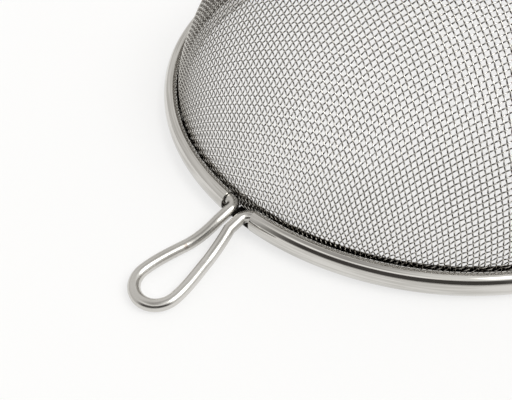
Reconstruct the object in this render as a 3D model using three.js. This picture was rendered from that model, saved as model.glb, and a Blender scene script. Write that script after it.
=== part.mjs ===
// Mesh strainer, standing dome up on its rim. Millimetres, +Z up.
// A bowl of woven wire, here a thin shell with a coarse grid of openings, is gripped between an
// inner ring and a rolled steel rim in two half bands. One bent rod runs inside the rim: it comes
// out at -X as the resting ear and at +X as the two handle rods.

import * as THREE from 'three';

// Driving dimensions of the rim
const RIM_DIAMETER = 180;
const RIM_HEIGHT = 7.7;
const RIM_SHEET = 0.45;
const RIM_FULLNESS = 2.3; // exponent of the rim's oval, 2 is a plain ellipse
const CREST_OUTSET = 0.2; // the rim's crest lies this far outside the rod's ring
const LINER_TOP = 7;

// Driving dimensions of the bent rod
const ROD_DIAMETER = 3.5;
const ROD_TO_RIM = 0.7;
const ROD_HEADROOM = 0.35;
const ARM_GAP = 0.4;
const BEND_RADIUS = 3.2;
const NECK_RUN = 4.2;
const EAR_LENGTH = 36.8;
const EAR_WIDTH = 16.5;
const EAR_DROP_RUN = 15;
const TABLE_GAP = 0.2; // the ear clears the table by this much

// Driving dimensions of the woven bowl
const MESH_THICKNESS = 0.6;
const MESH_TO_ROD = 0.6;
const SKIRT_BELOW_CREST = 2.3;
const SHOULDER_RADIUS = 17.4;
const SHOULDER_TURN = 20; // degrees from the upright skirt to the crown's edge
const HUB_TURN = 82; // degrees from the upright skirt to the closed middle of the crown

// The cloth's openings, far coarser than its weave: rows up the crown and sectors around it
const MESH_ROWS = 6;
const FINE_ROWS = 3; // rows above these leave out every second upright rib
const MESH_SECTORS = 32;
const ROW_RIB = 4;
const UPRIGHT_RIB_TURN = 3.2; // degrees around the bowl

// Driving dimensions of the handle
const BARE_ROD_RUN = 26;
const ROD_INSERT = 34;
const GRIP_LENGTH = 118;
const GRIP_WIDTH = 16;
const GRIP_HEIGHT = 9;
const GRIP_WALL = 0.8;
const GRIP_TABLE_GAP = 0.35;
const COLLAR_LENGTH = 14;
const COLLAR_PROUD = 3;
const PLUG_LENGTH = 10;
const PLUG_PROUD = 2.5;
const LOOP_WIRE = 3;
const LOOP_WIDTH = 11;
const LOOP_LENGTH = 22;
const LOOP_INSERT = 8;

// Clearances between pieces that touch
const SEAT_GAP = 0.3;
const LIP_GAP = 0.9;

// Fineness of the facets
const LINER_SEGMENTS = 80;
const SHOULDER_STEPS = 3;
const BAND_STEPS = 48;
const OVAL_STEPS = 9;
const RING_STATIONS = 37;
const ROUND_SIDES = 10;
const BEND_STATIONS = 6;
const ARM_STATIONS = 8;
const OUTLINE_SEGMENTS = 8;

// Places worked out from the driving dimensions
const rimRadius = RIM_DIAMETER / 2;
const rodRadius = ROD_DIAMETER / 2;
const rodRing = rimRadius - RIM_SHEET - ROD_TO_RIM - rodRadius;
const rodHeight = RIM_HEIGHT - RIM_SHEET - ROD_HEADROOM - rodRadius;
const meshRadius = rodRing - rodRadius - MESH_TO_ROD;
const linerRadius = meshRadius - MESH_THICKNESS - SEAT_GAP - RIM_SHEET;
const crestRadius = rodRing + CREST_OUTSET;
const skirtFoot = RIM_SHEET + SEAT_GAP;
const neckHalf = rodRadius + ARM_GAP / 2;
const notchHalf = neckHalf + BEND_RADIUS;
const notchAngle = Math.asin(notchHalf / rodRing);
const notchDepth = rodRing * (1 - Math.cos(notchAngle));
const earEnd = rimRadius + EAR_LENGTH;
const earHeight = rodRadius + TABLE_GAP;
const gripHeight = GRIP_HEIGHT / 2 + GRIP_TABLE_GAP;
const collarStart = rimRadius + BARE_ROD_RUN;
const gripStart = collarStart + COLLAR_PROUD;
const gripEnd = gripStart + GRIP_LENGTH;
const plugEnd = gripEnd + PLUG_PROUD;
const loopEnd = plugEnd + LOOP_LENGTH;
const loopHalf = (LOOP_WIDTH - LOOP_WIRE) / 2;

const polishedSteel = { color: 0xd8d6d2, roughness: 0.15, metalness: 1 };
const wovenSteel = { color: 0xb9b6b0, roughness: 0.35, metalness: 1 };
const brushedSteel = { color: 0xc6c4c0, roughness: 0.3, metalness: 1 };

// The part's origin is under the middle of its box, on the table
const strainer = new THREE.Group();
strainer.position.x = (earEnd - loopEnd) / 2;

function addNode(name, geometry, finish) {
  const mesh = new THREE.Mesh(geometry, new THREE.MeshStandardMaterial(finish));
  mesh.name = name;
  strainer.add(mesh);
}

function smoothStep(t) {
  const s = THREE.MathUtils.clamp(t, 0, 1);
  return s * s * (3 - 2 * s);
}

function arc(centre, radius, from, to, steps) {
  const points = [];
  for (let i = 0; i <= steps; i += 1) {
    const angle = from + ((to - from) * i) / steps;
    const x = centre.x + radius * Math.cos(angle);
    const y = centre.y + radius * Math.sin(angle);
    points.push(new THREE.Vector2(x, y));
  }
  return points;
}

// A level circle about the Z axis, as a path for the rim's section
class RingArc extends THREE.Curve {
  constructor(radius, from, to) {
    super();
    this.radius = radius;
    this.from = from;
    this.to = to;
  }

  getPoint(t, target = new THREE.Vector3()) {
    const angle = THREE.MathUtils.lerp(this.from, this.to, t);
    return target.set(this.radius * Math.cos(angle), this.radius * Math.sin(angle), 0);
  }
}

// A smooth path with one step of the sweep between each two stations
class StationPath extends THREE.CatmullRomCurve3 {
  getUtoTmapping(u) {
    return u;
  }
}

function roundRod(stations, diameter) {
  const section = new THREE.Shape().absarc(0, 0, diameter / 2, 0, 2 * Math.PI);
  return new THREE.ExtrudeGeometry(section, {
    extrudePath: new StationPath(stations),
    steps: stations.length - 1,
    curveSegments: ROUND_SIDES / 2,
  });
}

// Level lines of the cloth: upright skirt, round shoulder, two for each row of openings, crown
function bowlOutline(inset) {
  const turn = THREE.MathUtils.degToRad(SHOULDER_TURN);
  const rowTurn = (THREE.MathUtils.degToRad(HUB_TURN) - turn) / MESH_ROWS;
  const centre = new THREE.Vector2(meshRadius - SHOULDER_RADIUS, RIM_HEIGHT - SKIRT_BELOW_CREST);
  const crownRadius = centre.x / Math.cos(turn) + SHOULDER_RADIUS;
  const crownCentre = new THREE.Vector2(0, centre.y - centre.x * Math.tan(turn));
  const points = [new THREE.Vector2(meshRadius - inset, skirtFoot)];
  points.push(...arc(centre, SHOULDER_RADIUS - inset, 0, turn, SHOULDER_STEPS));
  for (let row = 0; row < MESH_ROWS; row += 1) {
    const ribStart = turn + row * rowTurn;
    const ribEnd = ribStart + ROW_RIB / crownRadius;
    points.push(...arc(crownCentre, crownRadius - inset, ribEnd, ribStart + rowTurn, 1));
  }
  points.push(new THREE.Vector2(0, crownCentre.y + crownRadius - inset));
  return points;
}

// Upright lines of the cloth: both edges of each rib and the middle of the gap after it
function basketTurns() {
  const sector = (2 * Math.PI) / MESH_SECTORS;
  const ribHalf = THREE.MathUtils.degToRad(UPRIGHT_RIB_TURN) / 2;
  const turns = [];
  for (let k = 0; k < MESH_SECTORS; k += 1) {
    turns.push(k * sector - ribHalf, k * sector + ribHalf, (k + 0.5) * sector);
  }
  return turns;
}

// Whether the cloth is open between a level line and the next, and an upright line and the next
function isOpen(row, column) {
  const step = row - SHOULDER_STEPS - 2;
  if (step < 0 || step >= 2 * MESH_ROWS || step % 2 === 1) {
    return false;
  }
  const linesPerSector = 3;
  const onRib = column % linesPerSector === 0;
  const ribLeftOut = step >= 2 * FINE_ROWS && (column / linesPerSector) % 2 === 1;
  return !onRib || ribLeftOut;
}

// The cloth as a thin closed shell: outer and inner faces, and walls around each opening
function meshBasket() {
  const sides = [bowlOutline(0), bowlOutline(MESH_THICKNESS)];
  const turns = basketTurns();
  const lastRow = sides[0].length - 2;
  const positions = [];

  function place(side, row, column) {
    const point = sides[side][row];
    const turn = turns[column % turns.length];
    return [point.x * Math.cos(turn), point.x * Math.sin(turn), point.y];
  }

  function addFace(corners) {
    for (let k = 1; k < corners.length - 1; k += 1) {
      positions.push(...corners[0], ...corners[k], ...corners[k + 1]);
    }
  }

  function addCell(row, column) {
    const lower = [[row, column], [row, column + 1]];
    const upper = row === lastRow ? [[row + 1, column]] : [[row + 1, column + 1], [row + 1, column]];
    const corners = [...lower, ...upper];
    addFace(corners.map(([r, c]) => place(0, r, c)));
    addFace(corners.map(([r, c]) => place(1, r, c)).reverse());
  }

  function addWall(from, to) {
    addFace([place(0, ...from), place(1, ...from), place(1, ...to), place(0, ...to)]);
  }

  for (let row = 0; row <= lastRow; row += 1) {
    for (let column = 0; column < turns.length; column += 1) {
      if (isOpen(row, column)) {
        continue;
      }
      addCell(row, column);
      if (row === 0 || isOpen(row - 1, column)) {
        addWall([row, column], [row, column + 1]);
      }
      if (isOpen(row, (column + 1) % turns.length)) {
        addWall([row, column + 1], [row + 1, column + 1]);
      }
      if (isOpen(row + 1, column)) {
        addWall([row + 1, column + 1], [row + 1, column]);
      }
      if (isOpen(row, (column + turns.length - 1) % turns.length)) {
        addWall([row + 1, column], [row, column]);
      }
    }
  }
  const basket = new THREE.BufferGeometry();
  basket.setAttribute('position', new THREE.Float32BufferAttribute(positions, 3));
  basket.computeVertexNormals();
  return basket;
}

// The ring inside the skirt, which also closes the rim behind the ear
function rimLiner() {
  const inner = linerRadius;
  const outer = linerRadius + RIM_SHEET;
  const section = [
    new THREE.Vector2(inner, LINER_TOP),
    new THREE.Vector2(inner, skirtFoot),
    new THREE.Vector2(outer, skirtFoot),
    new THREE.Vector2(outer, LINER_TOP),
    new THREE.Vector2(inner, LINER_TOP),
  ];
  return new THREE.LatheGeometry(section, LINER_SEGMENTS).rotateX(Math.PI / 2);
}

// One side of the rim's sheet: lip, crest, outer flank and flat foot
function rimOutline(inset) {
  const lipReach = (crestRadius - meshRadius - LIP_GAP) / (rimRadius - crestRadius);
  const lipAngle = Math.PI - Math.acos(lipReach ** (RIM_FULLNESS / 2));
  const points = [];
  for (const turn of arc(new THREE.Vector2(), 1, lipAngle, -Math.PI / 2, OVAL_STEPS)) {
    const across = Math.sign(turn.x) * Math.abs(turn.x) ** (2 / RIM_FULLNESS);
    const up = Math.sign(turn.y) * Math.abs(turn.y) ** (2 / RIM_FULLNESS);
    const radius = crestRadius + across * (rimRadius - crestRadius - inset);
    points.push(new THREE.Vector2(radius, RIM_HEIGHT / 2 + up * (RIM_HEIGHT / 2 - inset)));
  }
  points.push(new THREE.Vector2(linerRadius, inset));
  return points;
}

function rimBand(from, to) {
  const outline = [...rimOutline(0), ...rimOutline(RIM_SHEET).reverse()];
  const section = outline.map((p) => new THREE.Vector2(-p.y, rodRing - p.x));
  return new THREE.ExtrudeGeometry(new THREE.Shape(section), {
    extrudePath: new RingArc(rodRing, from, to),
    steps: BAND_STEPS,
  });
}

// Stations of the rod, as distance out from its ring and distance from the X axis
function bendStations() {
  const points = [];
  for (let i = 1; i <= BEND_STATIONS; i += 1) {
    const turn = ((Math.PI / 2) * i) / BEND_STATIONS;
    const out = BEND_RADIUS * (1 - Math.cos(turn)) - notchDepth;
    points.push(new THREE.Vector2(out, notchHalf - BEND_RADIUS * Math.sin(turn)));
  }
  return points;
}

function earStations() {
  const half = EAR_WIDTH / 2 - rodRadius;
  const tipCentre = earEnd - rodRadius - half - rodRing;
  const armStart = BEND_RADIUS - notchDepth + NECK_RUN;
  const points = bendStations();
  for (let i = 0; i < ARM_STATIONS; i += 1) {
    const t = i / ARM_STATIONS;
    const out = THREE.MathUtils.lerp(armStart, tipCentre, t);
    points.push(new THREE.Vector2(out, THREE.MathUtils.lerp(neckHalf, half, smoothStep(t))));
  }
  points.push(...arc(new THREE.Vector2(tipCentre, 0), half, Math.PI / 2, 0, BEND_STATIONS));
  return points.map((p) => {
    const drop = smoothStep((p.x - BEND_RADIUS + notchDepth) / EAR_DROP_RUN);
    const height = THREE.MathUtils.lerp(rodHeight, earHeight, drop);
    return new THREE.Vector3(-rodRing - p.x, p.y, height);
  });
}

function ringStations() {
  const path = new RingArc(rodRing, Math.PI - notchAngle, notchAngle);
  const points = [];
  for (let i = 0; i <= RING_STATIONS; i += 1) {
    const point = path.getPoint(i / RING_STATIONS);
    point.z = rodHeight;
    points.push(point);
  }
  return points;
}

function handleRodStations() {
  const rodEnd = collarStart + ROD_INSERT - rodRing;
  const points = bendStations();
  const straightStart = rimRadius - rodRing + BEND_RADIUS;
  points.push(new THREE.Vector2(straightStart, neckHalf));
  points.push(new THREE.Vector2((straightStart + collarStart - rodRing) / 2, neckHalf));
  points.push(new THREE.Vector2(collarStart - rodRing, neckHalf));
  points.push(new THREE.Vector2(rodEnd, neckHalf));
  return points.map((p) => {
    const climb = smoothStep((p.x - straightStart) / (collarStart - rodRing - straightStart));
    const height = THREE.MathUtils.lerp(rodHeight, gripHeight, climb);
    return new THREE.Vector3(rodRing + p.x, p.y, height);
  });
}

// One unbroken rod: handle rod, half ring, ear, half ring and the other handle rod
function frameRod() {
  const half = [...earStations().reverse(), ...ringStations(), ...handleRodStations()];
  const otherHalf = half.slice(1).map((p) => new THREE.Vector3(p.x, -p.y, p.z));
  return roundRod([...otherHalf.reverse(), ...half], ROD_DIAMETER);
}

// An outline with straight top and bottom and round ends, centred on the grip's axis
function stadium(width, height, path = new THREE.Shape()) {
  const reach = (width - height) / 2;
  path.absarc(reach, 0, height / 2, -Math.PI / 2, Math.PI / 2);
  path.absarc(-reach, 0, height / 2, Math.PI / 2, (3 * Math.PI) / 2);
  path.closePath();
  return path;
}

function alongGrip(outline, from, to) {
  const solid = new THREE.ExtrudeGeometry(outline, {
    depth: to - from,
    bevelEnabled: false,
    curveSegments: OUTLINE_SEGMENTS,
  });
  const x = new THREE.Vector3(1, 0, 0);
  const y = new THREE.Vector3(0, 1, 0);
  const z = new THREE.Vector3(0, 0, 1);
  solid.applyMatrix4(new THREE.Matrix4().makeBasis(y, z, x));
  return solid.translate(from, 0, gripHeight);
}

function plugOutline() {
  const inset = 2 * (GRIP_WALL + SEAT_GAP);
  return stadium(GRIP_WIDTH - inset, GRIP_HEIGHT - inset);
}

function handleCollar() {
  const outline = plugOutline();
  const slotHeight = ROD_DIAMETER + 2 * SEAT_GAP;
  outline.holes.push(stadium(2 * neckHalf + slotHeight, slotHeight, new THREE.Path()));
  return alongGrip(outline, collarStart, collarStart + COLLAR_LENGTH);
}

function gripTube() {
  const outline = stadium(GRIP_WIDTH, GRIP_HEIGHT);
  const bore = stadium(GRIP_WIDTH - 2 * GRIP_WALL, GRIP_HEIGHT - 2 * GRIP_WALL, new THREE.Path());
  outline.holes.push(bore);
  return alongGrip(outline, gripStart, gripEnd);
}

function gripEndPlug() {
  const outline = plugOutline();
  for (const side of [-1, 1]) {
    const bore = new THREE.Path();
    bore.absarc(side * loopHalf, 0, LOOP_WIRE / 2 + SEAT_GAP, 0, 2 * Math.PI);
    outline.holes.push(bore);
  }
  return alongGrip(outline, plugEnd - PLUG_LENGTH, plugEnd);
}

function hangingLoop() {
  const bendStart = loopEnd - LOOP_WIRE / 2 - loopHalf;
  const turn = arc(new THREE.Vector2(bendStart, 0), loopHalf, -Math.PI / 2, Math.PI / 2, 2 * BEND_STATIONS);
  const stations = [
    new THREE.Vector2(plugEnd - LOOP_INSERT, -loopHalf),
    new THREE.Vector2(plugEnd, -loopHalf),
    ...turn,
    new THREE.Vector2(plugEnd, loopHalf),
    new THREE.Vector2(plugEnd - LOOP_INSERT, loopHalf),
  ];
  return roundRod(stations.map((p) => new THREE.Vector3(p.x, p.y, gripHeight)), LOOP_WIRE);
}

addNode('mesh_basket', meshBasket(), wovenSteel);
addNode('rim_liner', rimLiner(), polishedSteel);
addNode('rim_band_left', rimBand(notchAngle, Math.PI - notchAngle), polishedSteel);
addNode('rim_band_right', rimBand(Math.PI + notchAngle, 2 * Math.PI - notchAngle), polishedSteel);
addNode('frame_rod', frameRod(), polishedSteel);
addNode('handle_collar', handleCollar(), polishedSteel);
addNode('grip_tube', gripTube(), brushedSteel);
addNode('grip_end_plug', gripEndPlug(), polishedSteel);
addNode('hanging_loop', hangingLoop(), polishedSteel);

export default strainer;
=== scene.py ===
import math
from contextlib import contextmanager

import bmesh
import bpy
from mathutils import Matrix, Vector


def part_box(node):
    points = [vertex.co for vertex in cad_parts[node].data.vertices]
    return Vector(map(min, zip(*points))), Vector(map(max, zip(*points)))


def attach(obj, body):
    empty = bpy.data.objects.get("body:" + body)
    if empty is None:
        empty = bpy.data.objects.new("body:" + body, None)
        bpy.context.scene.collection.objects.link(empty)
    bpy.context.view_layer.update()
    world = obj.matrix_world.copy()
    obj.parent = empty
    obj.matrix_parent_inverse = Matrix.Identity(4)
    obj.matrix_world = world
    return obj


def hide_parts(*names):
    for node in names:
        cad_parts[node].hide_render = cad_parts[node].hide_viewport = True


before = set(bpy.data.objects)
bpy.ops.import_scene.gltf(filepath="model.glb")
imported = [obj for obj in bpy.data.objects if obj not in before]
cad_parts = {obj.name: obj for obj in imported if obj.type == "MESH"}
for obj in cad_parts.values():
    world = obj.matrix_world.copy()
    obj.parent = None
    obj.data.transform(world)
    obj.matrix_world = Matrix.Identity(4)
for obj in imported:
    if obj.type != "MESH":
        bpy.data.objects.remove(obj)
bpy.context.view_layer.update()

# A round mesh strainer that stands dome up on its rolled rim, with a teardrop ear of bent rod.
# Metres, +Z up, +X from the ear to the hanging loop. Routes are worked out about the bowl's axis.
MM = 0.001

# The bowl's axis, and the sizes of the rim
cloth_low, cloth_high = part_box("mesh_basket")
AXIS = Vector(((cloth_low.x + cloth_high.x) / 2, 0, 0))
RIM_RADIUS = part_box("rim_band_left")[1].y
RIM_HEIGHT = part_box("rim_band_left")[1].z
RIM_SHEET = 0.45 * MM
RIM_FULLNESS = 2.0  # exponent of the section, 2 is a plain ellipse
CREST_RADIUS = 87.3 * MM
LIP_RADIUS = 85.0 * MM
LEFT_END_SHORT = math.radians(0.6)
RIGHT_END_LONG = math.radians(0.35)
LINER_RADIUS = 83.4 * MM
LINER_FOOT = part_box("rim_liner")[0].z
LINER_SUNK = 0.9 * MM
LINER_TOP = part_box("rim_liner")[1].z - LINER_SUNK
TAB_RADIUS = 88.6 * MM
TAB_FOOT = 0.3 * MM
TAB_TOP = 0.75 * MM

# The bent rod
ROD_RADIUS = 1.75 * MM
ROD_RING = 87.1 * MM
ROD_HEIGHT = 5.15 * MM
NECK_HALF = 1.95 * MM
LEFT_NECK = 2.65 * MM  # the left arm leaves the ring a little further out
BEND_RADIUS = 3.2 * MM
NECK_RUN = 4.2 * MM
EAR_END = AXIS.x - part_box("frame_rod")[0].x
EAR_HALF = 6.5 * MM
EAR_SPREAD = 1.6  # how early the right arm leaves the neck
EAR_HEIGHT = 1.95 * MM
EAR_DROP_RUN = 15 * MM
NOTCH_ANGLE = math.asin((NECK_HALF + BEND_RADIUS) / ROD_RING)
NOTCH_DEPTH = ROD_RING * (1 - math.cos(NOTCH_ANGLE))
TAB_ANGLE = 0.85 * NOTCH_ANGLE

# The woven cloth: its wires, its weave and its middle surface
WIRE_RADIUS = 0.18 * MM
WIRE_PITCH = 1.57 * MM
WEAVE_LIFT = 0.18 * MM
CRIMP_FLAT = 0.22
WARP_AZIMUTH = math.radians(64.8)
SKIRT_FOOT = cloth_low.z
SKIRT_RADIUS = (cloth_high.x - cloth_low.x) / 2 - WEAVE_LIFT - WIRE_RADIUS
SHOULDER_SIZE = 17.1 * MM
SHOULDER_TURN = math.radians(20)
SHOULDER_HEIGHT = 5.4 * MM
SHOULDER_AXIS = Vector((SKIRT_RADIUS - SHOULDER_SIZE, SHOULDER_HEIGHT))
CROWN_RADIUS = SHOULDER_AXIS.x / math.cos(SHOULDER_TURN) + SHOULDER_SIZE
CROWN_CENTRE = SHOULDER_AXIS.y - SHOULDER_AXIS.x * math.tan(SHOULDER_TURN)

# The handle
COLLAR_START = 116 * MM
COLLAR_LENGTH = 14 * MM
ROD_INSERT = 34 * MM
GRIP_START = 119 * MM
GRIP_END = 237 * MM
GRIP_WIDTH = 16 * MM
GRIP_THICK = 9 * MM
GRIP_WALL = 0.8 * MM
GRIP_HEIGHT = 4.85 * MM
PLUG_END = 239.5 * MM
PLUG_LENGTH = 10 * MM
LOOP_RADIUS = 1.5 * MM
LOOP_HALF = 4 * MM
LOOP_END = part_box("hanging_loop")[1].x - AXIS.x
LOOP_INSERT = 8 * MM
SEAT_GAP = 0.3 * MM
CUT_PAST = 1 * MM

# Rounded edges, and the angle past which an edge counts as sharp
SHARP = math.radians(50)
LINER_EDGE = 0.12 * MM
GRIP_EDGE = 0.3 * MM
FITTING_EDGE = 0.4 * MM

# How finely round pieces are divided, and the gap at which points are welded
RIM_STEPS = 174
LINER_STEPS = 240
TAB_STEPS = 16
RING_STEPS = 170
ARM_STEPS = 32
TIP_STEPS = 24
HANDLE_STEPS = 8
LOOP_STEPS = 36
WIRE_ROUNDNESS = 1
ROD_ROUNDNESS = 12
LOOP_ROUNDNESS = 10
GRIP_SIDES = 48
BORE_SIDES = 32
WELD = 1e-7

# How the weave is worked out, and in how many pieces each family of wires comes
FIRST_SWING = -0.05
SWING_TRIES = 30
ON_CLOTH = 1e-12
SHORTEST_WIRE = 4
WIRE_SETS = 3

# Patterns: noise scales per metre, where clouds and lines start and end, and how deep lines are
CLOUD_SCALE = 45
WIRE_CLOUD_SCALE = 60
LINER_CLOUD_SCALE = 160
GRAIN_SCALE = 700
ROLL_SCALE = 1500
ROLL_STRETCH = 0.003
BRUSH_SCALE = (25, 2600, 2600)
CLOUD_ENDS = (0.3, 0.7)
STREAK_ENDS = (0.4, 0.62)
LINE_DEPTH = 0.02 * MM
FAINT_LINES = 0.05
CLEAR_LINES = 0.25

# The wire's knuckles, polished by wear, and its low parts under the crossing wires, painted dark as
# shade: colours, and the rise at which they change
WIRE_BRIGHT = (0.77, 0.75, 0.71, 1)
WIRE_CLOUD = (0.69, 0.67, 0.625, 1)
WIRE_PAINTED_SHADE = (0.115, 0.1, 0.084, 1)
WIRE_SHADE_CLOUD = (0.084, 0.071, 0.057, 1)
KNUCKLE = (0.08 * MM, 0.255 * MM)
WIRE_ROUGHNESS = (0.24, 0.12, 0.04)  # of dull wire, what wear takes off, what clouds add

# The bent rod, and the nicks on the ear's arms
ROD_BRIGHT = (0.665, 0.65, 0.62, 1)
ROD_CLOUD = (0.56, 0.545, 0.515, 1)
ROD_ROUGHNESS = (0.16, 0.05, 0.06, 0.1)  # where it is smoothest, what clouds, grain and nicks add
NICK_COLOUR = (0.36, 0.32, 0.29, 1)
NICK_SIZE = 1.2 * MM
NICK_CORE = 0.4
NICK_GRAIN = (0.35, 0.6)
NICKS = [AXIS + Vector(p) * MM for p in ((-105.9, 3.1, 3.3), (-106.9, -4.9, 3.3))]

# The rim's sheet
RIM_BRIGHT = (0.7, 0.685, 0.655, 1)
RIM_CLOUD = (0.51, 0.495, 0.465, 1)
RIM_STAIN = (0.4, 0.6)  # the share of clouds and of streaks in the colour
RIM_ROUGHNESS = (0.03, 0.03, 0.06)  # where it is smoothest, what clouds and streaks add

# The inner ring: its polished inside, and its dull outside, painted near-black as the shade against the
# cloth
LINER_BRIGHT = (0.74, 0.735, 0.72, 1)
LINER_CLOUD = (0.68, 0.67, 0.65, 1)
LINER_PAINTED_SHADE = (0.03, 0.028, 0.026, 1)
LINER_SHADE_CLOUD = (0.05, 0.045, 0.04, 1)
LINER_ROUGHNESS = (0.14, 0.06, 0.35)  # where it is smoothest, what clouds and the dull outside add

# The brushed grip
GRIP_BRIGHT = (0.72, 0.71, 0.69, 1)
GRIP_CLOUD = (0.68, 0.67, 0.65, 1)
GRIP_ROUGHNESS = (0.22, 0.115, 0.115)  # where it is smoothest, what clouds and brush strokes add

# The camera, about the bowl's axis
CAMERA_PLACE = Vector((-157.9, -83.6, 135.52)) * MM
CAMERA_AZIMUTH = math.radians(-42.3)
CAMERA_ELEVATION = math.radians(49.16)
CAMERA_ROLL = math.radians(-3.61)
SENSOR = 36
FOCAL_PIXELS = 600
IMAGE_WIDTH = 512

# The floor
FLOOR_RADIUS = 4
FLOOR_SIDES = 96
FLOOR_COLOUR = (0.97, 0.965, 0.95, 1)
FLOOR_WHITE = 0.65
WHITE = (1, 1, 1, 1)

# The studio's light: linear colours, and places as azimuth and elevation in degrees. A spread is the
# angle from a place at which a light has faded out and the one within which it is full. A foot and a
# top are heights on the unit sphere, from no light to full light.
LOW_WALL = (0.64, 0.63, 0.615, 1)
PALE_WALL = (0.77, 0.76, 0.745, 1)
PALE_FOOT = (0.0, 0.6)
NEAR_SIDE = (213, 0)
DIM_WALL = (0.36, 0.35, 0.34, 1)
DIM_SPREAD = (70, 30)
DIM_FOOT = (0.35, 0.5)
CEILING = (0.42, 0.41, 0.4, 1)
CEILING_FOOT = (0.86, 0.97)
SOFT_BOX = (297, 52)
SOFT_BOX_GLOW = (0.95, 0.95, 0.935, 1)
GLOW_SPREAD = (46, 24)
SOFT_BOX_LIGHT = (6, 6, 5.95, 1)
BOX_SPREAD = (22, 5)
WINDOW = (198, 0)
WINDOW_LIGHT = (1.2, 1.19, 1.17, 1)
WINDOW_SPREAD = (62, 34)
WINDOW_FOOT = (0.68, 0.74)
WINDOW_TOP = (0.9, 0.83)
DARK_WALL = (0.07, 0.066, 0.062, 1)
DARK_SPREAD = (62, 35)
DARK_FOOT = (0.1, 0.15)
DARK_TOP = (0.71, 0.63)


class Field:
    """A value in a node tree. Python operators on it add Math nodes, and node() adds any other."""

    def __init__(self, tree, output=None):
        self.tree = tree
        self.output = output

    def node(self, kind, settings=None, sockets=None, output=0):
        made = self.tree.nodes.new(kind)
        for name, value in (settings or {}).items():
            setattr(made, name, value)
        for name, value in (sockets or {}).items():
            self.feed(made.inputs[name], value)
        return Field(self.tree, made.outputs[output])

    def feed(self, socket, value):
        """Links a value to a socket, or sets a number or colour on it."""
        if isinstance(value, Field):
            self.tree.links.new(value.output, socket)
        else:
            socket.default_value = value

    def math(self, operation, *values):
        return self.node("ShaderNodeMath", {"operation": operation}, dict(enumerate(values)))

    def __add__(self, other):
        return self.math("ADD", self, other)

    def __radd__(self, other):
        return self.math("ADD", other, self)

    def __sub__(self, other):
        return self.math("SUBTRACT", self, other)

    def __rsub__(self, other):
        return self.math("SUBTRACT", other, self)

    def __mul__(self, other):
        return self.math("MULTIPLY", self, other)

    def __rmul__(self, other):
        return self.math("MULTIPLY", other, self)

    def ramp(self, low, high):
        """Goes smoothly from 0 to 1 as this value goes from low to high."""
        settings = {"interpolation_type": "SMOOTHSTEP"}
        sockets = {"Value": self, "From Min": low, "From Max": high}
        return self.node("ShaderNodeMapRange", settings, sockets)

    def mix(self, first, second):
        """The first colour where this value is 0, the second where it is 1."""
        made = self.tree.nodes.new("ShaderNodeMix")
        made.data_type = "RGBA"
        for name, value in (("Factor", self), ("A", first), ("B", second)):
            self.feed(next(s for s in made.inputs if s.name == name and s.enabled), value)
        return Field(self.tree, next(s for s in made.outputs if s.enabled))


def new_material(name):
    material = bpy.data.materials.new(name)
    material.use_nodes = True
    material.node_tree.nodes.clear()
    return material, Field(material.node_tree)


def end_with(field, shader, kind="ShaderNodeOutputMaterial"):
    out = field.tree.nodes.new(kind)
    field.tree.links.new(shader.output, out.inputs["Surface"])


def end_with_metal(field, sockets):
    shader = field.node("ShaderNodeBsdfPrincipled", {}, {"Metallic": 1.0, **sockets})
    end_with(field, shader)


def object_place(field):
    return field.node("ShaderNodeTexCoord", {}, {}, output="Object")


def noise(field, place, scale, detail, roughness=0.5):
    sockets = {"Vector": place, "Scale": scale, "Detail": detail, "Roughness": roughness}
    return field.node("ShaderNodeTexNoise", {}, sockets)


def clouds(field, place, scale=CLOUD_SCALE, detail=3):
    """Soft patches, from 0 to 1."""
    return noise(field, place, scale, detail).ramp(*CLOUD_ENDS)


def fine_bump(field, height, strength):
    sockets = {"Strength": strength, "Distance": LINE_DEPTH, "Height": height}
    return field.node("ShaderNodeBump", {}, sockets)


def from_axis(field, place):
    """The distance and the turn of a place about the bowl's axis, and its height."""
    parts = field.node("ShaderNodeSeparateXYZ", {}, {"Vector": place})
    x, y, height = [Field(field.tree, s) for s in parts.output.node.outputs]
    out = x - AXIS.x
    return field.math("SQRT", out * out + y * y), field.math("ARCTAN2", y, out), height


def close_to(field, place, target, size):
    """1 at a target, fading to 0 at that distance from it."""
    sockets = {0: place, 1: target}
    away = field.node("ShaderNodeVectorMath", {"operation": "DISTANCE"}, sockets, output="Value")
    return away.ramp(size, NICK_CORE * size)


def rolling_lines(field, radius, turn, height):
    """Lines along the rim: they change across its section and hardly along it."""
    sockets = {"X": radius, "Y": height, "Z": turn * ROLL_STRETCH}
    return noise(field, field.node("ShaderNodeCombineXYZ", {}, sockets), ROLL_SCALE, 3)


def brushed_lines(field, place):
    """Brush strokes along the grip."""
    stretched = field.node("ShaderNodeMapping", {}, {"Vector": place, "Scale": BRUSH_SCALE})
    return noise(field, stretched, scale=1, detail=3, roughness=0.6)


def rod_steel():
    """Polished rod, cloudy from drawing, with a dull nick on each arm of the ear."""
    material, field = new_material("polished_rod")
    place = object_place(field)
    cloud = clouds(field, place)
    grain = noise(field, place, GRAIN_SCALE, 2)
    spots = sum(close_to(field, place, nick, NICK_SIZE) for nick in NICKS)
    nicks = spots * grain.ramp(*NICK_GRAIN)
    smooth, clouded, grained, nicked = ROD_ROUGHNESS
    sockets = {
        "Base Color": nicks.mix(cloud.mix(ROD_BRIGHT, ROD_CLOUD), NICK_COLOUR),
        "Roughness": smooth + cloud * clouded + grain * grained + nicks * nicked,
        "Normal": fine_bump(field, grain, FAINT_LINES),
    }
    end_with_metal(field, sockets)
    return material


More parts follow.
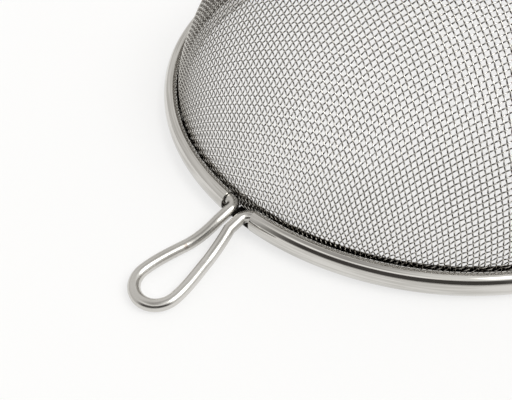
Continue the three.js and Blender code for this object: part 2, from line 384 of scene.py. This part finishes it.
def rim_steel():
    """Polished rolled sheet with fine lines along the roll."""
    material, field = new_material("rolled_rim")
    place = object_place(field)
    lines = rolling_lines(field, *from_axis(field, place))
    cloud = clouds(field, place)
    streaks = lines.ramp(*STREAK_ENDS)
    stain = cloud * RIM_STAIN[0] + streaks * RIM_STAIN[1]
    smooth, clouded, streaked = RIM_ROUGHNESS
    sockets = {
        "Base Color": stain.mix(RIM_BRIGHT, RIM_CLOUD),
        "Roughness": smooth + cloud * clouded + streaks * streaked,
        "Normal": fine_bump(field, lines, CLEAR_LINES),
    }
    end_with_metal(field, sockets)
    return material


def liner_steel():
    """Polished inside; outside, against the cloth, dull and painted near-black as shade."""
    material, field = new_material("liner_steel")
    place = object_place(field)
    radius = from_axis(field, place)[0]
    outside = radius.ramp(LINER_RADIUS + 0.25 * RIM_SHEET, LINER_RADIUS + 0.75 * RIM_SHEET)
    cloud = clouds(field, place, LINER_CLOUD_SCALE)
    bright = cloud.mix(LINER_BRIGHT, LINER_CLOUD)
    # Painted shade: the outside, facing the cloth, and the tab take the near-black colours.
    dark = cloud.mix(LINER_PAINTED_SHADE, LINER_SHADE_CLOUD)
    smooth, clouded, dulled = LINER_ROUGHNESS
    sockets = {
        "Base Color": outside.mix(bright, dark),
        "Roughness": smooth + cloud * clouded + outside * dulled,
    }
    end_with_metal(field, sockets)
    return material


def wire_steel():
    """Drawn wire. The knuckles of the weave are polished bright by wear; its low parts, under the
    crossing wires, are painted dark as shade.
    """
    material, field = new_material("drawn_wire")
    place = object_place(field)
    rise = field.node("ShaderNodeAttribute", {"attribute_name": "rise"}, {}, output="Fac")
    wear_and_shade = field.math("ABSOLUTE", rise).ramp(*KNUCKLE)
    cloud = clouds(field, place, WIRE_CLOUD_SCALE, 2)
    # Painted shade: the low parts of the weave, under the crossing wires, take the near-black colours.
    low = cloud.mix(WIRE_PAINTED_SHADE, WIRE_SHADE_CLOUD)
    high = cloud.mix(WIRE_BRIGHT, WIRE_CLOUD)
    dull, polished, clouded = WIRE_ROUGHNESS
    sockets = {
        "Base Color": wear_and_shade.mix(low, high),
        "Roughness": dull - wear_and_shade * polished + cloud * clouded,
    }
    end_with_metal(field, sockets)
    return material


def grip_steel():
    """Satin steel, brushed along the grip, with clouds in its colour and gloss."""
    material, field = new_material("brushed_grip")
    place = object_place(field)
    cloud = clouds(field, place)
    strokes = brushed_lines(field, place)
    smooth, clouded, brushed = GRIP_ROUGHNESS
    sockets = {
        "Base Color": cloud.mix(GRIP_BRIGHT, GRIP_CLOUD),
        "Roughness": smooth + cloud * clouded + strokes * brushed,
        "Normal": fine_bump(field, strokes, FAINT_LINES),
    }
    end_with_metal(field, sockets)
    return material


def deselect():
    bpy.ops.object.select_all(action="DESELECT")


def pick(piece):
    deselect()
    piece.select_set(True)
    bpy.context.view_layer.objects.active = piece


@contextmanager
def edit_mode(piece):
    pick(piece)
    bpy.ops.object.mode_set(mode="EDIT")
    yield bmesh.from_edit_mesh(piece.data)
    bpy.ops.object.mode_set(mode="OBJECT")


def apply_modifier(piece, name, kind, **settings):
    modifier = piece.modifiers.new(name, kind)
    for key, value in settings.items():
        setattr(modifier, key, value)
    pick(piece)
    bpy.ops.object.modifier_apply(modifier=name)


def round_edges(piece, width, segments=3):
    apply_modifier(piece, "Edge", "BEVEL", width=width, segments=segments, angle_limit=SHARP)


def settle(piece, node, material, smooth_angle=40):
    """Puts the place into the mesh, smooths it, gives the piece its finish and body, and hides the CAD
    part it stands for.
    """
    pick(piece)
    bpy.ops.object.transform_apply(location=True, rotation=True, scale=True)
    bpy.ops.object.shade_smooth_by_angle(angle=math.radians(smooth_angle))
    piece.data.materials.clear()
    piece.data.materials.append(material)
    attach(piece, "root")
    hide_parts(node)
    return piece


def smooth_step(t):
    t = min(max(t, 0), 1)
    return t * t * (3 - 2 * t)


def lerp(a, b, t):
    return a + (b - a) * t


def arc(centre, radius, start, end, steps):
    angles = [lerp(start, end, k / steps) for k in range(steps + 1)]
    return [Vector((centre[0] + radius * math.cos(a), centre[1] + radius * math.sin(a))) for a in angles]


def tubes(name, routes, radius, roundness):
    """One mesh of round tubes with closed ends, each along its route about the bowl's axis."""
    curve = bpy.data.curves.new(name, "CURVE")
    curve.dimensions = "3D"
    curve.bevel_depth = radius
    curve.bevel_resolution = roundness
    curve.use_fill_caps = True
    for route in routes:
        spline = curve.splines.new("POLY")
        spline.points.add(len(route) - 1)
        for point, place in zip(spline.points, route):
            point.co = (*(place + AXIS), 1)
    piece = bpy.data.objects.new(name, curve)
    bpy.context.scene.collection.objects.link(piece)
    pick(piece)
    bpy.ops.object.convert(target="MESH")
    return bpy.context.view_layer.objects.active


def off_cloth(place):
    """How far a place lies outside the cloth's middle surface, and the surface's tilt there."""
    radius = math.hypot(place.x, place.y)
    tilt = math.atan2(place.z - CROWN_CENTRE, radius)
    if tilt >= SHOULDER_TURN:
        return math.hypot(radius, place.z - CROWN_CENTRE) - CROWN_RADIUS, tilt
    out, up = radius - SHOULDER_AXIS.x, place.z - SHOULDER_AXIS.y
    tilt = max(math.atan2(up, out), 0)
    return out * math.cos(tilt) + max(up, 0) * math.sin(tilt) - SHOULDER_SIZE, tilt


def cloth_normal(place):
    tilt = off_cloth(place)[1]
    level = Vector((place.x, place.y, 0)).normalized() * math.cos(tilt)
    return level + Vector((0, 0, math.sin(tilt)))


def turn_onto_cloth(middle, along, aside, reach):
    """Swings an arm of that reach about its middle, in the plane of two directions, onto the cloth."""

    def end(turn):
        return middle + reach * (math.cos(turn) * along + math.sin(turn) * aside)

    before, turn = 0.0, FIRST_SWING
    gap_before, gap = off_cloth(end(before))[0], off_cloth(end(turn))[0]
    for _ in range(SWING_TRIES):
        if abs(gap) < ON_CLOTH or gap == gap_before:
            break
        before, turn = turn, turn - gap * (turn - before) / (gap - gap_before)
        gap_before, gap = gap, off_cloth(end(turn))[0]
    return end(turn)


def next_crossing(first, second, corner):
    """The crossing one pitch from two neighbours, on the far side from the corner that they share."""
    middle = (first + second) / 2
    across = second - first
    reach = math.sqrt(WIRE_PITCH**2 - across.length_squared / 4)
    across.normalize()
    along = middle - corner
    along = (along - across * along.dot(across)).normalized()
    return turn_onto_cloth(middle, along, across.cross(along), reach)


def quarter_net():
    """Crossings of the wires over a quarter of the bowl. Square cloth keeps its pitch and shears."""
    bottom = SKIRT_FOOT - WIRE_PITCH
    quarter_turn = Matrix.Rotation(math.pi / 2, 3, "Z")
    spine = [Vector((0, 0, CROWN_CENTRE + CROWN_RADIUS))]
    heading = Vector((1, 0, 0))
    while spine[-1].z > bottom:
        aside = heading.cross(Vector((0, -1, 0)))
        spine.append(turn_onto_cloth(spine[-1], heading, aside, WIRE_PITCH))
        heading = (spine[-1] - spine[-2]).normalized()
    net = {}
    for i, place in enumerate(spine):
        net[i, 0] = place
        net[0, i] = quarter_turn @ place
    for i in range(1, len(spine)):
        for j in range(1, len(spine)):
            if (i - 1, j) in net and (i, j - 1) in net:
                place = next_crossing(net[i - 1, j], net[i, j - 1], net[i - 1, j - 1])
                if place.z < bottom:
                    break
                net[i, j] = place
    return net


def whole_net():
    """The quarter turned four times, so that i and j run through the crown to the skirt's foot."""
    net = {}
    for (i, j), place in quarter_net().items():
        for quarter in range(4):
            turn = Matrix.Rotation(WARP_AZIMUTH + quarter * math.pi / 2, 3, "Z")
            net[i, j] = turn @ place
            i, j = -j, i
    return net


def crimped_wire(crossings, side):
    """A wire's route over and under its neighbours, cut off at the skirt's foot."""
    route = []
    for k, place in enumerate(crossings):
        lift = cloth_normal(place) * (WEAVE_LIFT if (k + side) % 2 else -WEAVE_LIFT)
        before = crossings[max(k - 1, 0)]
        after = crossings[min(k + 1, len(crossings) - 1)]
        route.append(place.lerp(before, CRIMP_FLAT) + lift)
        route.append(place.lerp(after, CRIMP_FLAT) + lift)
    return [p for p in route if p.z >= SKIRT_FOOT]


def mark_rise(piece):
    """Keeps how far each point of the wires stands off the cloth's middle surface."""
    rise = [off_cloth(vert.co - AXIS)[0] for vert in piece.data.vertices]
    piece.data.attributes.new("rise", "FLOAT", "POINT").data.foreach_set("value", rise)


def woven_cloth(material):
    net = whole_net()
    last = max(i for i, j in net)
    families = {"warp": lambda i, j: (i, j), "weft": lambda i, j: (j, i)}
    for family, order in families.items():
        wires = []
        for i in range(-last, last + 1):
            keys = [order(i, j) for j in range(-last, last + 1)]
            crossings = [(k, net[key]) for k, key in enumerate(keys) if key in net]
            if len(crossings) >= SHORTEST_WIRE:
                first = crossings[0][0] + i + (family == "weft")
                wires.append(crimped_wire([place for k, place in crossings], first))
        share = math.ceil(len(wires) / WIRE_SETS)
        for part in range(WIRE_SETS):
            name = f"{family}_wires_{part + 1}"
            piece = tubes(name, wires[part * share:(part + 1) * share], WIRE_RADIUS, WIRE_ROUNDNESS)
            mark_rise(piece)
            settle(piece, "mesh_basket", material, smooth_angle=75)


def rim_outline(inset, steps=40):
    """One side of the rim's sheet: lip, crest, outer flank and flat foot."""
    reach = RIM_RADIUS - CREST_RADIUS
    lip = math.pi - math.acos(((CREST_RADIUS - LIP_RADIUS) / reach) ** (RIM_FULLNESS / 2))
    points = []
    for turn in arc((0, 0), 1, lip, -math.pi / 2, steps):
        across = math.copysign(abs(turn.x) ** (2 / RIM_FULLNESS), turn.x)
        up = math.copysign(abs(turn.y) ** (2 / RIM_FULLNESS), turn.y)
        height = RIM_HEIGHT / 2 + up * (RIM_HEIGHT / 2 - inset)
        points.append(Vector((CREST_RADIUS + across * (reach - inset), height)))
    points.append(Vector((LINER_RADIUS, inset)))
    return points


def spun(name, section, start, angle, steps, closed):
    """A section spun about the bowl's axis: a bar with two ends, or a closed ring."""
    mesh = bpy.data.meshes.new(name)
    places = [(AXIS.x + p.x * math.cos(start), p.x * math.sin(start), p.y) for p in section]
    around = [(k, (k + 1) % len(places)) for k in range(len(places))]
    mesh.from_pydata(places, around if closed else [], [] if closed else [range(len(places))])
    piece = bpy.data.objects.new(name, mesh)
    bpy.context.scene.collection.objects.link(piece)
    with edit_mode(piece):
        bpy.ops.mesh.select_all(action="SELECT")
        bpy.ops.mesh.spin(steps=steps, angle=angle, center=AXIS, axis=(0, 0, 1))
        bpy.ops.mesh.select_all(action="SELECT")
        bpy.ops.mesh.remove_doubles(threshold=WELD)
        bpy.ops.mesh.normals_make_consistent(inside=False)
    return piece


def rim_band(name, start, end, node, material):
    section = rim_outline(0) + rim_outline(RIM_SHEET)[::-1]
    band = spun(name, section, start, start - end, RIM_STEPS, closed=False)
    return settle(band, node, material, smooth_angle=50)


def rim_liner(material):
    inner, outer = LINER_RADIUS, LINER_RADIUS + RIM_SHEET
    corners = [(inner, LINER_FOOT), (outer, LINER_FOOT), (outer, LINER_TOP), (inner, LINER_TOP)]
    ring = spun("inner_ring", [Vector(c) for c in corners], 0, 2 * math.pi, LINER_STEPS, closed=True)
    # The tab reaches out past the ring's outside, so it takes the painted shade as well.
    tab_corners = [(outer, TAB_FOOT), (TAB_RADIUS, TAB_FOOT), (TAB_RADIUS, TAB_TOP), (outer, TAB_TOP)]
    tab_start, tab_turn = math.pi - TAB_ANGLE, -2 * TAB_ANGLE
    tab = spun("tab", [Vector(c) for c in tab_corners], tab_start, tab_turn, TAB_STEPS, closed=False)
    pick(ring)
    tab.select_set(True)
    bpy.ops.object.join()
    round_edges(ring, LINER_EDGE, segments=2)
    return settle(ring, "rim_liner", material, smooth_angle=50)


def bend_route(neck=NECK_HALF, steps=12):
    """From the ring into the neck, as distance out from the ring and from the X axis."""
    radius = BEND_RADIUS + NECK_HALF - neck
    return arc((radius - NOTCH_DEPTH, neck + radius), radius, math.pi, 1.5 * math.pi, steps)


def ear_route(neck, early):
    """One arm of the ear, from the ring to the tip. early says how soon it leaves the neck."""
    tip = EAR_END - ROD_RADIUS - EAR_HALF - ROD_RING
    arm = BEND_RADIUS - NOTCH_DEPTH + NECK_RUN
    route = bend_route(neck)
    for k in range(ARM_STEPS):
        t = k / ARM_STEPS
        spread = smooth_step(t) + early * t * (1 - t) ** 4
        route.append(Vector((lerp(arm, tip, t), lerp(neck, EAR_HALF, spread))))
    route += arc((tip, 0), EAR_HALF, math.pi / 2, 0, TIP_STEPS)
    places = []
    for p in route:
        drop = smooth_step((p.x - BEND_RADIUS + NOTCH_DEPTH) / EAR_DROP_RUN)
        places.append(Vector((-ROD_RING - p.x, p.y, lerp(ROD_HEIGHT, EAR_HEIGHT, drop))))
    return places


def ring_route():
    turns = arc((0, 0), ROD_RING, math.pi - NOTCH_ANGLE, NOTCH_ANGLE, RING_STEPS)
    return [Vector((p.x, p.y, ROD_HEIGHT)) for p in turns[1:-1]]


def handle_rod_route():
    start = RIM_RADIUS - ROD_RING + BEND_RADIUS
    collar = COLLAR_START - ROD_RING
    route = bend_route()
    for k in range(HANDLE_STEPS + 1):
        route.append(Vector((lerp(start, collar, k / HANDLE_STEPS), NECK_HALF)))
    route.append(Vector((collar + ROD_INSERT, NECK_HALF)))
    places = []
    for p in route:
        climb = smooth_step((p.x - start) / (collar - start))
        places.append(Vector((ROD_RING + p.x, p.y, lerp(ROD_HEIGHT, GRIP_HEIGHT, climb))))
    return places


def bent_rod(material):
    ring_and_handle = ring_route() + handle_rod_route()
    left = ear_route(LEFT_NECK, 0)[::-1] + ring_and_handle
    right = ear_route(NECK_HALF, EAR_SPREAD)[::-1] + ring_and_handle
    right = [Vector((p.x, -p.y, p.z)) for p in right[1:]]
    piece = tubes("bent_rod", [right[::-1] + left], ROD_RADIUS, ROD_ROUNDNESS)
    return settle(piece, "frame_rod", material, smooth_angle=60)


def stadium_bar(name, width, thick, start, end):
    """A bar along the handle with straight top and bottom and round sides."""
    deselect()
    bpy.ops.mesh.primitive_circle_add(
        vertices=GRIP_SIDES,
        radius=thick / 2,
        fill_type="NGON",
        location=(AXIS.x + start, 0, GRIP_HEIGHT),
        rotation=(0, math.pi / 2, 0),
    )
    piece = bpy.context.view_layer.objects.active
    piece.name = name
    bpy.ops.object.transform_apply(location=True, rotation=True, scale=True)
    reach = (width - thick) / 2
    with edit_mode(piece) as mesh:
        half_side = math.pi / GRIP_SIDES
        middle = (AXIS.x + start, 0, GRIP_HEIGHT)
        bpy.ops.transform.rotate(value=half_side, orient_axis="X", center_override=middle)
        for side in (-1, 1):
            bpy.ops.mesh.select_all(action="DESELECT")
            for vert in mesh.verts:
                vert.select_set(vert.co.y * side > 0)
            mesh.select_flush_mode()
            bpy.ops.transform.translate(value=(0, side * reach, 0))
        bpy.ops.mesh.select_all(action="SELECT")
        bpy.ops.mesh.extrude_region_move(TRANSFORM_OT_translate={"value": (end - start, 0, 0)})
        bpy.ops.mesh.select_all(action="SELECT")
        bpy.ops.mesh.normals_make_consistent(inside=False)
    return piece


def cut_by(piece, cutter):
    apply_modifier(piece, "Bore", "BOOLEAN", operation="DIFFERENCE", solver="EXACT", object=cutter)
    bpy.data.objects.remove(cutter)


def handle_collar(material):
    inset = 2 * (GRIP_WALL + SEAT_GAP)
    end = COLLAR_START + COLLAR_LENGTH
    collar = stadium_bar("collar", GRIP_WIDTH - inset, GRIP_THICK - inset, COLLAR_START, end)
    slot_thick = 2 * (ROD_RADIUS + SEAT_GAP)
    slot_width = 2 * NECK_HALF + slot_thick
    slot = stadium_bar("slot", slot_width, slot_thick, COLLAR_START - CUT_PAST, end + CUT_PAST)
    cut_by(collar, slot)
    round_edges(collar, FITTING_EDGE)
    return settle(collar, "handle_collar", material)


def grip_tube(material):
    grip = stadium_bar("grip", GRIP_WIDTH, GRIP_THICK, GRIP_START, GRIP_END)
    bore_width, bore_thick = GRIP_WIDTH - 2 * GRIP_WALL, GRIP_THICK - 2 * GRIP_WALL
    bore_start, bore_end = GRIP_START - CUT_PAST, GRIP_END + CUT_PAST
    bore = stadium_bar("bore", bore_width, bore_thick, bore_start, bore_end)
    cut_by(grip, bore)
    round_edges(grip, GRIP_EDGE)
    return settle(grip, "grip_tube", material)


def end_plug(material):
    inset = 2 * (GRIP_WALL + SEAT_GAP)
    start = PLUG_END - PLUG_LENGTH
    plug = stadium_bar("end_plug", GRIP_WIDTH - inset, GRIP_THICK - inset, start, PLUG_END)
    for side in (-1, 1):
        deselect()
        bpy.ops.mesh.primitive_cylinder_add(
            vertices=BORE_SIDES,
            radius=LOOP_RADIUS + SEAT_GAP / 2,
            depth=2 * PLUG_LENGTH,
            location=(AXIS.x + PLUG_END - PLUG_LENGTH / 2, side * LOOP_HALF, GRIP_HEIGHT),
            rotation=(0, math.pi / 2, 0),
        )
        cut_by(plug, bpy.context.view_layer.objects.active)
    round_edges(plug, FITTING_EDGE)
    return settle(plug, "grip_end_plug", material)


def hanging_loop(material):
    turn = arc((LOOP_END - LOOP_RADIUS - LOOP_HALF, 0), LOOP_HALF, -math.pi / 2, math.pi / 2, LOOP_STEPS)
    start = Vector((PLUG_END - LOOP_INSERT, 0))
    side = Vector((0, LOOP_HALF))
    route = [start - side, *turn, start + side]
    places = [Vector((p.x, p.y, GRIP_HEIGHT)) for p in route]
    piece = tubes("hang_loop", [places], LOOP_RADIUS, LOOP_ROUNDNESS)
    return settle(piece, "hanging_loop", material, smooth_angle=60)


def camera():
    data = bpy.data.cameras.new("Camera")
    data.sensor_width = SENSOR
    data.lens = SENSOR * FOCAL_PIXELS / IMAGE_WIDTH
    data.clip_start = 1 * MM
    seen = bpy.data.objects.new("Camera", data)
    turn = Matrix.Rotation(CAMERA_AZIMUTH, 4, "Z")
    tip = Matrix.Rotation(math.pi / 2 - CAMERA_ELEVATION, 4, "X")
    roll = Matrix.Rotation(CAMERA_ROLL, 4, "Z")
    seen.matrix_world = Matrix.Translation(CAMERA_PLACE + AXIS) @ turn @ tip @ roll
    bpy.context.scene.collection.objects.link(seen)
    bpy.context.scene.camera = seen


def floor():
    deselect()
    bpy.ops.mesh.primitive_circle_add(vertices=FLOOR_SIDES, radius=FLOOR_RADIUS, fill_type="NGON")
    piece = bpy.context.view_layer.objects.active
    piece.name = "floor"
    material, field = new_material("pale_floor")
    sockets = {"Base Color": FLOOR_COLOUR, "Roughness": 1.0, "Specular IOR Level": 0.0}
    lit = field.node("ShaderNodeBsdfPrincipled", {}, sockets)
    white = field.node("ShaderNodeEmission", {}, {"Color": WHITE, "Strength": 1.0})
    paths = ("Is Camera Ray", "Is Glossy Ray", "Is Transmission Ray")
    seen = sum(field.node("ShaderNodeLightPath", {}, {}, output=path) for path in paths)
    share = field.math("MINIMUM", seen, 1.0) * FLOOR_WHITE
    end_with(field, field.node("ShaderNodeMixShader", {}, {0: share, 1: lit, 2: white}))
    piece.data.materials.append(material)


def toward(azimuth, elevation=0):
    """The unit direction at that azimuth and elevation, in degrees."""
    turn, rise = math.radians(azimuth), math.radians(elevation)
    return Vector((math.cos(rise) * math.cos(turn), math.cos(rise) * math.sin(turn), math.sin(rise)))


def studio_light():
    """A pale room with a soft box at one side. Its near side has a high window over a dark wall."""
    world = bpy.data.worlds.new("studio")
    world.use_nodes = True
    world.node_tree.nodes.clear()
    bpy.context.scene.world = world
    field = Field(world.node_tree)
    direction = field.node("ShaderNodeTexCoord", {}, {}, output="Generated")
    level = field.node("ShaderNodeVectorMath", {"operation": "MULTIPLY"}, {0: direction, 1: (1, 1, 0)})
    level = field.node("ShaderNodeVectorMath", {"operation": "NORMALIZE"}, {0: level})
    parts = field.node("ShaderNodeSeparateXYZ", {}, {"Vector": direction})
    up = Field(field.tree, parts.output.node.outputs["Z"])

    def near(place, spread, seen=direction):
        """1 within the inner angle of a place, 0 past the outer one."""
        sockets = {0: seen, 1: toward(*place)}
        dot = field.node("ShaderNodeVectorMath", {"operation": "DOT_PRODUCT"}, sockets, output="Value")
        return dot.ramp(*[math.cos(math.radians(angle)) for angle in spread])

    dim = near(NEAR_SIDE, DIM_SPREAD, level) * up.ramp(*DIM_FOOT)
    window = near(WINDOW, WINDOW_SPREAD, level) * up.ramp(*WINDOW_FOOT) * up.ramp(*WINDOW_TOP)
    dark = near(NEAR_SIDE, DARK_SPREAD, level) * up.ramp(*DARK_TOP) * up.ramp(*DARK_FOOT)
    light = up.ramp(*PALE_FOOT).mix(LOW_WALL, PALE_WALL)
    light = dim.mix(light, DIM_WALL)
    light = up.ramp(*CEILING_FOOT).mix(light, CEILING)
    light = near(SOFT_BOX, GLOW_SPREAD).mix(light, SOFT_BOX_GLOW)
    light = near(SOFT_BOX, BOX_SPREAD).mix(light, SOFT_BOX_LIGHT)
    light = window.mix(light, WINDOW_LIGHT)
    light = dark.mix(light, DARK_WALL)
    background = field.node("ShaderNodeBackground", {}, {"Color": light, "Strength": 1.0})
    end_with(field, background, "ShaderNodeOutputWorld")


bpy.context.scene.view_settings.view_transform = "Standard"
rod_finish = rod_steel()
rim_finish = rim_steel()
camera()
floor()
studio_light()
woven_cloth(wire_steel())
rim_liner(liner_steel())
left_end = math.pi - NOTCH_ANGLE - LEFT_END_SHORT
right_start = math.pi + NOTCH_ANGLE - RIGHT_END_LONG
rim_band("rim_left", NOTCH_ANGLE, left_end, "rim_band_left", rim_finish)
rim_band("rim_right", right_start, 2 * math.pi - NOTCH_ANGLE, "rim_band_right", rim_finish)
bent_rod(rod_finish)
handle_collar(rod_finish)
grip_tube(grip_steel())
end_plug(rod_finish)
hanging_loop(rod_finish)
